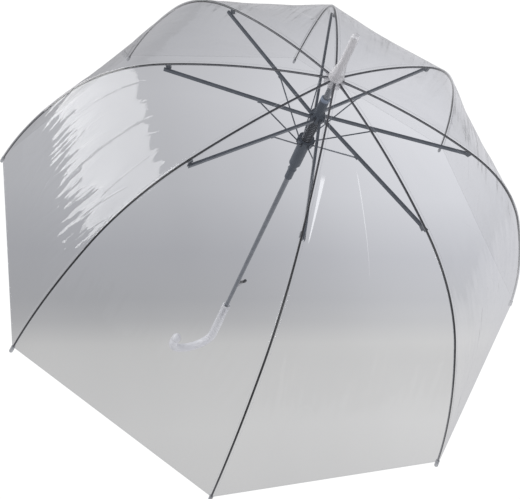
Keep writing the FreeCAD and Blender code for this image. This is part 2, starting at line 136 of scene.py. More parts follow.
def grid_faces(rows, columns, closed=False):
    """Quads of a grid of vertices stored row by row; closed joins each row's ends."""
    faces = []
    for r in range(rows - 1):
        for c in range(columns if closed else columns - 1):
            after = (c + 1) % columns
            faces.append((r * columns + c, r * columns + after,
                          (r + 1) * columns + after, (r + 1) * columns + c))
    return faces


def tube(name, centres, radii, side_axis, material, sides=16):
    """A closed round tube along points, its sections turned about one fixed side axis."""
    vertices = []
    side = Vector(side_axis).normalized()
    for i, centre in enumerate(centres):
        ahead = centres[min(i + 1, len(centres) - 1)] - centres[max(i - 1, 0)]
        up = ahead.cross(side).normalized()
        for j in range(sides):
            turn = 2 * math.pi * j / sides
            vertices.append(centre + radii[i] * (math.cos(turn) * side + math.sin(turn) * up))
    faces = grid_faces(len(centres), sides, closed=True)
    last = (len(centres) - 1) * sides
    faces.append(tuple(range(sides - 1, -1, -1)))
    faces.append(tuple(last + j for j in range(sides)))
    return new_object(name, vertices, faces, material)


# ---- Materials ------------------------------------------------------------------------


class Shader:
    """A material's node tree, with short calls for the nodes that every material uses."""

    def __init__(self, name):
        self.material = bpy.data.materials.new(name)
        self.material.use_nodes = True
        self.tree = self.material.node_tree
        self.tree.nodes.clear()
        self.output = self.node("ShaderNodeOutputMaterial")

    @classmethod
    def on(cls, material):
        """The same short calls for a material that is already made."""
        shader = cls.__new__(cls)
        shader.material = material
        shader.tree = material.node_tree
        shader.output = next(n for n in shader.tree.nodes if n.type == "OUTPUT_MATERIAL")
        return shader

    def node(self, kind, **settings):
        made = self.tree.nodes.new(kind)
        for key, value in settings.items():
            setattr(made, key, value)
        return made

    def link(self, source, target):
        self.tree.links.new(source, target)

    def feed(self, value, target):
        """Link a socket to an input, or set the input to a number or a colour."""
        if isinstance(value, bpy.types.NodeSocket):
            self.link(value, target)
        else:
            target.default_value = value

    def surface(self, socket):
        self.link(socket, self.output.inputs["Surface"])

    def position(self, scale=(1, 1, 1)):
        place = self.node("ShaderNodeTexCoord")
        mapping = self.node("ShaderNodeMapping")
        mapping.inputs["Scale"].default_value = scale
        self.link(place.outputs["Object"], mapping.inputs["Vector"])
        return mapping.outputs["Vector"]

    def height(self):
        """The height of a point in the frame when the piece is at rest."""
        place = self.node("ShaderNodeTexCoord")
        split = self.node("ShaderNodeSeparateXYZ")
        self.link(place.outputs["Object"], split.inputs["Vector"])
        return split.outputs["Z"]

    def noise(self, scale, detail=4.0, roughness=0.55, stretch=(1, 1, 1)):
        made = self.node("ShaderNodeTexNoise")
        made.inputs["Scale"].default_value = scale
        made.inputs["Detail"].default_value = detail
        made.inputs["Roughness"].default_value = roughness
        self.link(self.position(stretch), made.inputs["Vector"])
        return made.outputs["Fac"]

    def ramp(self, socket, stops):
        made = self.node("ShaderNodeValToRGB")
        elements = made.color_ramp.elements
        while len(elements) < len(stops):
            elements.new(0.5)
        for element, (place, colour) in zip(elements, stops):
            element.position = place
            element.color = (*colour, 1.0)
        self.link(socket, made.inputs["Fac"])
        return made.outputs["Color"]

    def mapped(self, socket, start, end, low=0.0, high=1.0, eased=False):
        """Map start..end to low..high, level beyond both ends."""
        made = self.node("ShaderNodeMapRange",
                         interpolation_type="SMOOTHSTEP" if eased else "LINEAR")
        made.inputs["From Min"].default_value = start
        made.inputs["From Max"].default_value = end
        made.inputs["To Min"].default_value = low
        made.inputs["To Max"].default_value = high
        self.link(socket, made.inputs["Value"])
        return made.outputs["Result"]

    def spread(self, socket, low, high):
        """Map 0..1 to low..high."""
        return self.mapped(socket, 0.0, 1.0, low, high)

    def math(self, operation, first, second=0.0):
        made = self.node("ShaderNodeMath", operation=operation)
        self.feed(first, made.inputs[0])
        self.feed(second, made.inputs[1])
        return made.outputs["Value"]

    def bump(self, socket, strength, distance):
        made = self.node("ShaderNodeBump")
        made.inputs["Strength"].default_value = strength
        made.inputs["Distance"].default_value = distance
        self.link(socket, made.inputs["Height"])
        return made.outputs["Normal"]

    def mixed(self, share, first, second):
        """The first shader, which gives up a share of itself to the second."""
        made = self.node("ShaderNodeMixShader")
        self.feed(share, made.inputs["Fac"])
        self.link(first, made.inputs[1])
        self.link(second, made.inputs[2])
        return made.outputs["Shader"]

    def emission(self, colour, strength):
        made = self.node("ShaderNodeEmission")
        self.feed(colour, made.inputs["Color"])
        self.feed(strength, made.inputs["Strength"])
        return made.outputs["Emission"]


def painted_metal(name, dark, light, roughness=0.32, metallic=0.55, upward=8 / 60):
    """Lacquered steel: slight mottling and an orange peel that is drawn out upwards."""
    sh = Shader(name)
    mottle = sh.noise(90.0, 5.0, 0.6)
    principled = sh.node("ShaderNodeBsdfPrincipled")
    sh.link(sh.ramp(mottle, [(0.3, dark), (0.7, light)]), principled.inputs["Base Color"])
    sh.link(sh.spread(sh.noise(300.0, 3.0), roughness - 0.08, roughness + 0.1),
            principled.inputs["Roughness"])
    principled.inputs["Metallic"].default_value = metallic
    principled.inputs["Coat Weight"].default_value = 0.35
    principled.inputs["Coat Roughness"].default_value = 0.18
    peel = sh.noise(700.0, 2.0, 0.5, (1, 1, upward))
    sh.link(sh.bump(peel, 0.25, 0.08 * MM), principled.inputs["Normal"])
    sh.surface(principled.outputs["BSDF"])
    return sh.material


def moulded_plastic(name, dark, light, roughness):
    """Injection-moulded plastic: fine spark texture and flow mottling."""
    sh = Shader(name)
    principled = sh.node("ShaderNodeBsdfPrincipled")
    flow = sh.noise(35.0, 6.0, 0.6)
    sh.link(sh.ramp(flow, [(0.25, dark), (0.75, light)]), principled.inputs["Base Color"])
    sh.link(sh.spread(sh.noise(220.0, 3.0), roughness - 0.06, roughness + 0.08),
            principled.inputs["Roughness"])
    sh.link(sh.bump(sh.noise(1600.0, 2.0), 0.3, 0.1 * MM), principled.inputs["Normal"])
    sh.surface(principled.outputs["BSDF"])
    return sh.material


def milky_plastic(name, tint, clear_low, clear_high, low, high):
    """Milky plastic whose clearness goes from clear_low at height low to clear_high at high."""
    sh = Shader(name)
    principled = sh.node("ShaderNodeBsdfPrincipled")
    cloud = sh.noise(28.0, 5.0, 0.6)
    paler = tuple(min(1.0, c * 1.06) for c in tint)
    colour = sh.ramp(cloud, [(0.3, tint), (0.7, paler)])
    sh.link(colour, principled.inputs["Base Color"])
    sh.link(sh.spread(sh.noise(120.0, 3.0), 0.15, 0.28), principled.inputs["Roughness"])
    principled.inputs["Coat Weight"].default_value = 0.4
    sh.link(sh.bump(sh.noise(90.0, 3.0), 0.08, 0.3 * MM), principled.inputs["Normal"])
    glow = sh.node("ShaderNodeBsdfTranslucent")
    sh.link(colour, glow.inputs["Color"])
    body = sh.mixed(0.4, principled.outputs["BSDF"], glow.outputs["BSDF"])
    through = sh.node("ShaderNodeBsdfTransparent")
    through.inputs["Color"].default_value = (0.97, 0.97, 0.98, 1)
    edge = sh.node("ShaderNodeLayerWeight")
    edge.inputs["Blend"].default_value = 0.35
    clarity = sh.math("MULTIPLY", sh.mapped(sh.height(), low, high, clear_low, clear_high),
                      sh.math("SUBTRACT", 1.0, edge.outputs["Facing"]))
    sh.surface(sh.mixed(clarity, body, through.outputs["BSDF"]))
    return sh.material


def spring_steel():
    """Drawn steel wire, finely mottled."""
    sh = Shader("spring_steel")
    principled = sh.node("ShaderNodeBsdfPrincipled")
    marks = sh.noise(900.0, 3.0)
    sh.link(sh.ramp(marks, [(0.2, (0.07, 0.075, 0.085)), (0.8, (0.2, 0.21, 0.23))]),
            principled.inputs["Base Color"])
    sh.link(sh.spread(marks, 0.25, 0.45), principled.inputs["Roughness"])
    principled.inputs["Metallic"].default_value = 0.9
    sh.link(sh.bump(marks, 0.2, 0.05 * MM), principled.inputs["Normal"])
    sh.surface(principled.outputs["BSDF"])
    return sh.material


def banded(material, colours):
    """Multiply a material's base colour by a ramp over height: (height, colour) pairs."""
    sh = Shader.on(material)
    principled = next(n for n in sh.tree.nodes if n.type == "BSDF_PRINCIPLED")
    source = principled.inputs["Base Color"].links[0].from_socket
    low, high = colours[0][0], colours[-1][0]
    tint = sh.ramp(sh.mapped(sh.height(), low, high),
                   [((height - low) / (high - low), colour) for height, colour in colours])
    mix = sh.node("ShaderNodeMix", data_type="RGBA", blend_type="MULTIPLY")
    mix.inputs[0].default_value = 1.0
    sh.link(tint, mix.inputs[6])
    sh.link(source, mix.inputs[7])
    sh.link(mix.outputs[2], principled.inputs["Base Color"])
    return material


def faded_below(material, height):
    """Let the piece show only faintly below a height, where milky plastic covers it."""
    sh = Shader.on(material)
    surface = sh.output.inputs["Surface"].links[0].from_socket
    below = sh.mapped(sh.height(), height, height - 2 * MM, 0.0, 0.9)
    clear = sh.node("ShaderNodeBsdfTransparent")
    sh.surface(sh.mixed(below, surface, clear.outputs["BSDF"]))
    return material


# ---- The film's material --------------------------------------------------------------

FILM_TINT = ((0.975, 0.976, 0.98), (0.99, 0.99, 0.992))
FILM_IOR = 1.5
FILM_ROUGHNESS = (0.025, 0.05)

# How much of the white haze shows in the film, more of it in the welds and in the hem
FILM_HAZE = 0.012
WELD_HAZE = 0.28
HEM_HAZE = 0.1
WELD_AT = 3.6 * MM
HEM_WIDTH = 3 * MM

# The relief. The film is taut near the top, and goes slack between the SLACK_RUNS.
SLACK_RUNS = (0.25, 0.36)
TAUT_SHARE = 0.25
STREAK_DEPTH = 0.7 * MM
COMBED_DEPTH = 0.25 * MM
CRUMPLE_DEPTH = 0.6 * MM
FOLD_DEPTH = 0.25 * MM
WELD_HEIGHT = 0.1 * MM
OVER_RIB_HEIGHT = 0.3 * MM
HEM_HEIGHT = 0.2 * MM

# A tilt along the run, which combs the edge of a reflection and ends between these runs
BRUSHED_TILT = 0.45
BRUSHED_ENDS = (0.39, 0.48)

# Panel, start and end (each its distance from the panel's middle, and its run), half width,
# and depth, or the brightness of a painted glint
PANEL_PITCH = 1.3  # apart from its neighbours, so that no fold runs on into the next panel
CREASES = [
    (3, (0.035, 0.14), (0.066, 0.2), 2.5 * MM, 0.5 * MM),
    (3, (-0.02, 0.24), (0.03, 0.33), 1.6 * MM, 0.3 * MM),
    (3, (-0.03, 0.48), (0.03, 0.55), 2.2 * MM, 0.4 * MM),
    (0, (-0.004, 0.235), (0.01, 0.40), 2.6 * MM, 0.7 * MM),
    (0, (-0.063, 0.235), (-0.074, 0.32), 1.8 * MM, 0.45 * MM),
    (0, (0.053, 0.25), (0.076, 0.33), 1.4 * MM, 0.35 * MM),
    (0, (0.082, 0.28), (0.083, 0.37), 1.6 * MM, 0.4 * MM),
    (5, (0.02, 0.18), (-0.05, 0.4), 2.0 * MM, 0.4 * MM),
    (6, (-0.04, 0.12), (0.03, 0.36), 2.2 * MM, 0.4 * MM),
    (7, (0.03, 0.2), (0.0, 0.45), 1.8 * MM, 0.35 * MM),
    (4, (-0.03, 0.2), (0.04, 0.42), 2.0 * MM, 0.4 * MM),
    (1, (-0.05, 0.3), (0.02, 0.5), 1.2 * MM, 0.12 * MM),
]
# Painted highlights: white lines, lit by their own glow, that stand in for glints of light along
# folds
PAINTED_GLINTS = [
    (2, (-0.0427, 0.13), (-0.0725, 0.214), 2.8 * MM, 0.8),
    (2, (0.0, 0.125), (0.002, 0.265), 0.9 * MM, 0.6),
    (3, (0.056, 0.16), (0.059, 0.19), 0.8 * MM, 0.4),
]
PAINTED_GLINT_GLOW = 0.35  # painted glow: light the glints give off themselves, without which they hardly show


class FilmShader(Shader):
    """The film's node tree, laid out on its flat cut: across the panels and along them."""

    def __init__(self, name):
        super().__init__(name)
        self.flat = self.node("ShaderNodeUVMap", uv_map="film").outputs["UV"]
        split = self.node("ShaderNodeSeparateXYZ")
        self.link(self.flat, split.inputs["Vector"])
        self.across, self.run = split.outputs["X"], split.outputs["Y"]
        self.slack = self.mapped(self.run, *SLACK_RUNS, TAUT_SHARE, 1.0, eased=True)
        self.weld = self.band(self.attribute("from_rib"), WELD_AT, 0.4 * MM, 0.5 * MM)
        self.hem = self.band(self.attribute("from_hem"), 0.0, HEM_WIDTH, 0.6 * MM)
        self.cloud = self.film_noise(9.0, 0.6, 3.0)

    def attribute(self, name):
        return self.node("ShaderNodeAttribute", attribute_name=name).outputs["Fac"]

    def film_noise(self, scale, stretch, detail, turn=0.0):
        """Noise on the flat film; a stretch below 1 draws it out along the panels."""
        mapping = self.node("ShaderNodeMapping")
        mapping.inputs["Scale"].default_value = (1, stretch, 1)
        mapping.inputs["Rotation"].default_value = (0, 0, turn)
        self.link(self.flat, mapping.inputs["Vector"])
        made = self.node("ShaderNodeTexNoise")
        made.inputs["Scale"].default_value = scale
        made.inputs["Detail"].default_value = detail
        self.link(mapping.outputs["Vector"], made.inputs["Vector"])
        return made.outputs["Fac"]

    def band(self, distance, centre, half_width, softness):
        """1 at a distance from an edge, falling to 0 on both sides."""
        off = self.math("ABSOLUTE", self.math("SUBTRACT", distance, centre))
        return self.mapped(off, half_width + softness, half_width, eased=True)

    def line_in_panel(self, panel, start, end):
        """Distances along and off a line; its ends are (distance from the middle, run)."""
        (x0, y0), (x1, y1) = start, end
        length = math.hypot(x1 - x0, y1 - y0)
        ax, ay = (x1 - x0) / length, (y1 - y0) / length
        x = self.math("SUBTRACT", self.across, panel * PANEL_PITCH + x0)
        y = self.math("SUBTRACT", self.run, y0)
        along = self.math("ADD", self.math("MULTIPLY", x, ax), self.math("MULTIPLY", y, ay))
        off = self.math("SUBTRACT", self.math("MULTIPLY", x, ay), self.math("MULTIPLY", y, ax))
        return along, off, length

    def crease(self, panel, start, end, half_width, depth):
        """A fold line in one panel."""
        along, off, length = self.line_in_panel(panel, start, end)
        wander = self.math("SUBTRACT", self.film_noise(60.0, 0.4, 1.0), 0.5)
        off = self.math("ADD", off, self.math("MULTIPLY", wander, half_width))
        profile = self.band(off, 0.0, 0.0, half_width)
        extent = self.band(along, length / 2, length * 0.35, length * 0.2)
        return self.math("MULTIPLY", self.math("MULTIPLY", profile, extent), depth)

    def painted_glint(self, panel, start, end, half_width, glint_brightness):
        """A painted highlight: a white line that stands in for a glint along a fold, tapering to
        its end.
        """
        along, off, length = self.line_in_panel(panel, start, end)
        taper = self.mapped(along, 0.0, length, half_width, half_width * 0.25)
        inside = self.math("SUBTRACT", taper, self.math("ABSOLUTE", off))
        edge = self.mapped(inside, 0.0, 0.5 * MM, eased=True)
        extent = self.band(along, length / 2, length * 0.4, length * 0.12)
        return self.math("MULTIPLY", self.math("MULTIPLY", edge, extent), glint_brightness)

    def raised(self, height, layer, depth):
        return self.math("ADD", height, self.math("MULTIPLY", layer, depth))

    def relief(self):
        """The film's height: folds where it is slack, welds, the ribs below, creases, a hem."""
        ridge = self.math("SUBTRACT", self.film_noise(9.0, 0.3, 1.0, 0.25), 0.5)
        fold = self.mapped(self.math("ABSOLUTE", ridge), 0.012, 0.0, eased=True)
        over_rib = self.band(self.attribute("from_rib"), 0.0, 0.8 * MM, 2.4 * MM)
        height = self.math("MULTIPLY", self.film_noise(95.0, 0.1, 3.0), STREAK_DEPTH)
        height = self.raised(height, self.film_noise(170.0, 0.07, 2.0), COMBED_DEPTH)
        height = self.raised(height, self.film_noise(20.0, 0.5, 2.0, 0.5), CRUMPLE_DEPTH)
        height = self.raised(height, fold, FOLD_DEPTH)
        height = self.math("MULTIPLY", height, self.slack)
        height = self.raised(height, self.weld, WELD_HEIGHT)
        height = self.raised(height, over_rib, OVER_RIB_HEIGHT)
        for entry in CREASES:
            height = self.math("ADD", height, self.crease(*entry))
        return self.raised(height, self.hem, HEM_HEIGHT)

    def brushed_normal(self):
        """A normal that tilts to and fro along the run, in the band where the film goes slack."""
        streaks = self.math("SUBTRACT", self.film_noise(120.0, 0.05, 3.0, 0.06), 0.5)
        ending = self.mapped(self.run, BRUSHED_ENDS[1], BRUSHED_ENDS[0], eased=True)
        loose = self.math("MULTIPLY", self.math("SUBTRACT", self.slack, TAUT_SHARE), ending)
        slope = self.math("MULTIPLY", self.math("MULTIPLY", streaks, BRUSHED_TILT), loose)
        tilt = self.node("ShaderNodeCombineXYZ")
        tilt.inputs["X"].default_value = 0.5
        self.link(self.math("ADD", slope, 0.5), tilt.inputs["Y"])
        tilt.inputs["Z"].default_value = 1.0
        tilted = self.node("ShaderNodeNormalMap", uv_map="film")
        self.link(tilt.outputs["Vector"], tilted.inputs["Color"])
        return tilted.outputs["Normal"]

    def uneven_normal(self):
        """The relief's normal on top of the brushed one."""
        bump = self.node("ShaderNodeBump")
        bump.inputs["Strength"].default_value = 1.0
        bump.inputs["Distance"].default_value = 1.0
        self.link(self.relief(), bump.inputs["Height"])
        self.link(self.brushed_normal(), bump.inputs["Normal"])
        return bump.outputs["Normal"]

    def hazy(self, normal):
        """Clear film with a thin white haze, stronger in its welds and hem."""
        through = self.node("ShaderNodeBsdfTransparent")
        self.link(self.ramp(self.cloud, [(0.3, FILM_TINT[0]), (0.7, FILM_TINT[1])]),
                  through.inputs["Color"])
        haze = self.node("ShaderNodeBsdfDiffuse")
        self.link(self.ramp(self.cloud, [(0.2, (0.5, 0.51, 0.54)), (0.8, (0.6, 0.61, 0.64))]),
                  haze.inputs["Color"])
        self.link(normal, haze.inputs["Normal"])
        share = self.math("ADD", FILM_HAZE, self.math("MULTIPLY", self.weld, WELD_HAZE))
        share = self.raised(share, self.hem, HEM_HAZE)
        return self.mixed(share, through.outputs["BSDF"], haze.outputs["BSDF"])

    def with_painted_glints(self, below):
        """Painted highlights on top of a shader: white diffuse lines that glow a little, standing
        in for glints along folds.
        """
        marks = 0.0
        for entry in PAINTED_GLINTS:
            marks = self.math("ADD", self.painted_glint(*entry), marks)
        white = self.node("ShaderNodeBsdfDiffuse")
        self.link(self.ramp(self.cloud, [(0.2, (0.9, 0.9, 0.92)), (0.8, (0.96, 0.96, 0.97))]),
                  white.inputs["Color"])
        tint = self.ramp(self.cloud, [(0.2, (0.9, 0.92, 1.0)), (0.8, (1.0, 1.0, 1.0))])
        bright = self.node("ShaderNodeAddShader")
        self.link(white.outputs["BSDF"], bright.inputs[0])
        self.link(self.emission(tint, PAINTED_GLINT_GLOW), bright.inputs[1])
        return self.mixed(marks, below, bright.outputs["Shader"])

    def mirror_share(self, normal):
        """Fresnel's share, with the IOR turned over on the back: both faces reflect alike."""
        back = self.node("ShaderNodeNewGeometry").outputs["Backfacing"]
        fresnel = self.node("ShaderNodeFresnel")
        self.link(self.spread(back, FILM_IOR, 1 / FILM_IOR), fresnel.inputs["IOR"])
        self.link(normal, fresnel.inputs["Normal"])
        return fresnel.outputs["Fac"]


def clear_film():
    """Clear PVC film: see-through, glossy by Fresnel, with folds, pale welds and a hem."""
    sh = FilmShader("clear_film")
    normal = sh.uneven_normal()
    gloss = sh.node("ShaderNodeBsdfGlossy")
    sh.link(sh.spread(sh.film_noise(12.0, 0.3, 2.0), *FILM_ROUGHNESS), gloss.inputs["Roughness"])
    sh.link(normal, gloss.inputs["Normal"])
    sh.surface(sh.mixed(sh.mirror_share(normal), sh.with_painted_glints(sh.hazy(normal)),
                        gloss.outputs["BSDF"]))
    return sh.material


# ---- What each node is made of --------------------------------------------------------

GRIP_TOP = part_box("handle")[1].z
HANDLE_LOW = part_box("handle")[0].z
RUNNER_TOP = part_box("runner")[1].z
CATCH_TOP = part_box("release_catch")[1].z

FINISH = {
    "clear_film": clear_film(),
    # Painted reflection: the ribs are painted lighter near their tips and near the notch, where
    # the film over them catches the light, and darkest between
    "rib_steel": banded(
        painted_metal("rib_steel", (0.009, 0.009, 0.01), (0.02, 0.02, 0.022), 0.4, 0.2),
        [(0.33, (5, 5, 5)), (0.40, (2, 2, 2)), (0.50, (1, 1, 1)), (0.61, (1, 1, 1)),
         (0.645, (3.5, 3.5, 3.7)), (0.665, (5, 5, 5.3))]),
    "clip_steel": painted_metal("clip_steel", (0.1, 0.112, 0.13), (0.17, 0.18, 0.2), 0.4, 0.3),
    "stretcher_steel": painted_metal("stretcher_steel", (0.105, 0.118, 0.14),
                                     (0.16, 0.178, 0.207), 0.36),
    # Painted shade and light: the shaft is painted darker where it goes into the grip, and
    # lighter above the notch, where it sits inside the milky notch and ferrule
    "shaft_steel": faded_below(banded(
        painted_metal("shaft_steel", (0.17, 0.185, 0.21), (0.23, 0.245, 0.275), 0.34, 0.4,
                      4 / 60),
        [(GRIP_TOP - 0.002, (0.6, 0.6, 0.6)), (GRIP_TOP + 0.004, (1, 1, 1)),
         (NOTCH_RISE, (1, 1, 1)), (NOTCH_RISE + 0.006, (2.3, 2.1, 1.95)),
         (NOTCH_RISE + 0.06, (2.6, 2.4, 2.2))]), GRIP_TOP - 0.0015),
    "dark_plastic": moulded_plastic("dark_plastic", (0.062, 0.074, 0.094),
                                    (0.09, 0.106, 0.132), 0.42),
    "runner_plastic": banded(
        moulded_plastic("runner_plastic", (0.055, 0.066, 0.084), (0.08, 0.095, 0.12), 0.42),
        [(RUNNER_TOP - 0.012, (1, 1, 1)), (RUNNER_TOP - 0.005, (1.1, 1.1, 1.15)),
         (RUNNER_TOP - 0.003, (3.6, 3.6, 3.7)), (RUNNER_TOP, (3.2, 3.2, 3.3))]),
    "white_plastic": milky_plastic("white_plastic", (0.88, 0.87, 0.88), 0.66, 0.6,
                                   NOTCH_RISE, NOTCH_RISE + 0.03),
    "handle_plastic": milky_plastic("handle_plastic", (0.93, 0.93, 0.96), 0.25, 0.93,
                                    HANDLE_LOW + 0.03, GRIP_TOP - 0.08),
    "plug_plastic": milky_plastic("plug_plastic", (0.95, 0.95, 0.97), 0.05, 0.1,
                                  HANDLE_LOW, GRIP_TOP),
    "cap_plastic": milky_plastic("cap_plastic", (0.5, 0.51, 0.53), 0.4, 0.4, 0.3, 0.4),
    "spring_steel": spring_steel(),
    "catch_steel": banded(painted_metal("catch_steel", (0.42, 0.42, 0.44), (0.5, 0.5, 0.52),
                                        0.4, 0.1),
                          [(CATCH_TOP - 0.03, (1, 1, 1)), (CATCH_TOP - 0.0095, (1, 1, 1)),
                           (CATCH_TOP - 0.008, (0.13, 0.13, 0.13)),
                           (CATCH_TOP, (0.13, 0.13, 0.13))]),
}

OWN_FINISH = {"runner": "runner_plastic", "handle_plug": "plug_plastic",
              "rib_clip": "clip_steel"}

SLOT_OF = {row["node"]: row["material_slot"] for row in frame["record"]["subparts"]}
BEVELLED = {"runner": 0.35, "lower_hub": 0.35, "top_notch": 0.25, "release_catch": 0.15,
            "ferrule": 0.35}


def finish_cad_nodes():
    """Give each CAD node its material, and the bevelled ones a rounded edge."""
    for name, thing in frame["nodes"].items():
        thing.data.materials.clear()
        own = OWN_FINISH.get(name.rstrip("_12345678"), SLOT_OF[name])
        thing.data.materials.append(FINISH[own])
        width = BEVELLED.get(name)
        if width is None and name.startswith("stretcher"):
            width = 0.18
        if width:
            bevel = thing.modifiers.new("soft_edges", "BEVEL")
            bevel.width = width * MM
            bevel.segments = 2
            bevel.limit_method = "ANGLE"
            bevel.angle_limit = math.radians(35)


# ---- Film -----------------------------------------------------------------------------

SAG = 3 * MM
TAUT_RIPPLE = 0.4
INNER_FOLDED = 0.1
OUTER_FOLDED = 0.06


def film_point(panel, across, run):
    """A point of the film: straight from rib to rib, sagging inward a little and rippled."""
    near = spoke_point(panel, run, FILM_OUT)
    far = spoke_point(panel + 1, run, FILM_OUT)
    straight = near.lerp(far, across)
    _, _, slope = along_rib(run)
    middle = FIRST + (panel + 0.5) * STEP
    out = Vector((math.sin(slope) * math.cos(middle), math.sin(slope) * math.sin(middle),
                  math.cos(slope)))
    tent = 4 * across * (1 - across)
    edge = smooth(0, 0.12, across) * smooth(0, 0.12, 1 - across)
    taut_hem = smooth(0, 0.09, FILM_END - run)
    slack = TAUT_RIPPLE + (1 - TAUT_RIPPLE) * smooth(*SLACK_RUNS, run)
    free = edge * smooth(0.0, 0.12, run) * taut_hem * slack
    sag = SAG * tent * smooth(0.02, 0.3, run) * taut_hem
    place = Vector((across * 3.1 + panel * 7.3, run * 9.0, panel * 2.7))
    creases = noise.noise(place * 1.6) * 1.3 + noise.noise(place * 4.3) * 0.45
    fold_line = across * 9 + run * 16 + panel * 1.7
    folds = math.sin(fold_line + 2.2 * noise.noise(place)) * 0.5
    ripple = (creases + folds * smooth(0.1, 0.3, run)) * MM * free
    return straight + out * (ripple - sag)


def film_normal(panel, across, run):
    small_across, small_run = 0.002, 0.0008
    a = film_point(panel, across + small_across, run) - film_point(panel, across - small_across,
                                                                   run)
    b = film_point(panel, across, run + small_run) - film_point(panel, across, run - small_run)
    return b.cross(a).normalized()


def spaced(first, last, count):
    return [first + (last - first) * i / count for i in range(count + 1)]


def film_piece(index, section, side):
    """Half of a panel, from its rib to the panel's middle, above or below the flex point."""
    panel = index if side > 0 else index - 1
    if section == "inner":
        runs = spaced(0.0, CLIP_RUN, 34)
        body = f"rib_{index + 1}"
    else:
        runs = spaced(CLIP_RUN, FILM_END - HEM_WIDTH, 62)
        runs += spaced(FILM_END - HEM_WIDTH, FILM_END, 4)[1:]
        body = f"outer_rib_{index + 1}"
    shares = [0, 0.01, 0.02, 0.035] + spaced(0.055, 0.5, 24)
    vertices, normals, from_rib, from_hem, flat = [], [], [], [], []
    for run in runs:
        panel_width = 2 * HALF_PANEL * along_rib(run)[0]
        for share in shares:
            across = share if side > 0 else 1 - share
            vertices.append(film_point(panel, across, run))
            normals.append(film_normal(panel, across, run))
            from_rib.append(share * panel_width)
            from_hem.append(FILM_END - run)
            flat.append((panel * PANEL_PITCH + (across - 0.5) * panel_width, run))
    faces = grid_faces(len(runs), len(shares))
    if side > 0:
        faces = [tuple(reversed(f)) for f in faces]
    name = f"film_{index + 1}_{section}_{'right' if side > 0 else 'left'}"
    piece = new_object(name, vertices, faces, FINISH["clear_film"])
    for label, values in (("from_rib", from_rib), ("from_hem", from_hem)):
        attribute = piece.data.attributes.new(label, "FLOAT", "POINT")
        attribute.data.foreach_set("value", values)
    layer = piece.data.uv_layers.new(name="film")
    for loop in piece.data.loops:
        layer.data[loop.index].uv = flat[loop.vertex_index]
    piece.data.normals_split_custom_set_from_vertices(normals)
    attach(piece, body)
    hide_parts("canopy")
    declare_film(runs)
    gather_film(piece, section)


def declare_film(runs):
    """The widths of the piece's flat cut, a strip that widens from its top to its bottom; they
    are worked out but not used.
    """
    count = 60
    widths = [HALF_PANEL * along_rib(run)[0] for run in spaced(runs[0], runs[-1], count)]


def gather_film(piece, section):
    """Give the piece a mesh of its own; the section's ends along its rib are worked out but not
    used.
    """
    if section == "inner":
        first, last, keep = 0.0, CLIP_RUN, INNER_FOLDED
    else:
        first, last, keep = CLIP_RUN, FILM_END, OUTER_FOLDED
    a, b = along_rib(first), along_rib(last)
    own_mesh(piece)


def build_film():
    for index in range(RIBS):
        for section in ("inner", "outer"):
            for side in (-1, 1):
                film_piece(index, section, side)


# ---- Ribs -----------------------------------------------------------------------------

FLEX_REACH = 75 * MM


def build_ribs():
    """Each rib as one wire from its eye to its cap, along the rib's curve."""
    for index in range(RIBS):
        runs = spaced(0.0, RIB_RUN, 150)
        centres = [spoke_point(index, run) for run in runs]
        radii = [RIB_RADIUS * (1.25 - 0.25 * smooth(0, 0.02, run)) for run in runs]
        angle = FIRST + index * STEP
        side = (-math.sin(angle), math.cos(angle), 0)
        rib = tube(f"rib_wire_{index + 1}", centres, radii, side, FINISH["rib_steel"])
        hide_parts(f"rib_{index + 1}", f"outer_rib_{index + 1}")
        spoke_point(index, CLIP_RUN - FLEX_REACH)
        spoke_point(index, CLIP_RUN + FLEX_REACH)
        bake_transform(rib)


# ---- Grip rim and spring --------------------------------------------------------------


def build_grip_collar():
    """The bright rim of the grip's tube, round the end of the shaft."""
    profile = [(4.3, -0.8), (7.9, -0.8), (8.3, 0.2), (7.7, 1.3), (6.4, 1.7), (5.2, 1.1), (4.3, 0)]
    sides = 48
    vertices = [Vector((radius * MM * math.cos(2 * math.pi * j / sides),
                        radius * MM * math.sin(2 * math.pi * j / sides),
                        GRIP_TOP + height * MM))
                for radius, height in profile for j in range(sides)]
    collar = new_object("grip_rim", vertices, grid_faces(len(profile), sides, closed=True),
                        FINISH["plug_plastic"])
    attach(collar, "root")


def build_spring():
    """The opening spring, as a coil of wire that goes with the runner."""
    low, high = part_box("main_spring")
    turns = 24
    sides_per_turn = 40
    wire = 0.75 * MM
    radius = high.x - wire
    span = high.z - low.z - 2 * wire
    sides = 10
    centres = []
    vertices = []
    for i in range(turns * sides_per_turn + 1):
        turn = 2 * math.pi * i / sides_per_turn
        height = low.z + wire + span * i / (turns * sides_per_turn)
        centres.append(Vector((radius * math.cos(turn), radius * math.sin(turn), height)))
    for centre in centres:
        out = Vector((centre.x, centre.y, 0)).normalized()
        for j in range(sides):
            angle = 2 * math.pi * j / sides
            vertices.append(centre + wire * (math.cos(angle) * out
                                             + math.sin(angle) * Vector((0, 0, 1))))
    faces = grid_faces(len(centres), sides, closed=True)
    last = (len(centres) - 1) * sides
    faces.append(tuple(range(sides)))
    faces.append(tuple(last + sides - 1 - j for j in range(sides)))
    spring = new_object("spring_coil", vertices, faces, FINISH["spring_steel"])
    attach(spring, "runner")
    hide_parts("main_spring")
    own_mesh(spring)


# ---- Floor, light, camera -------------------------------------------------------------

FLOOR_HALF = 14.0
FLOOR_WHITE = 1.05

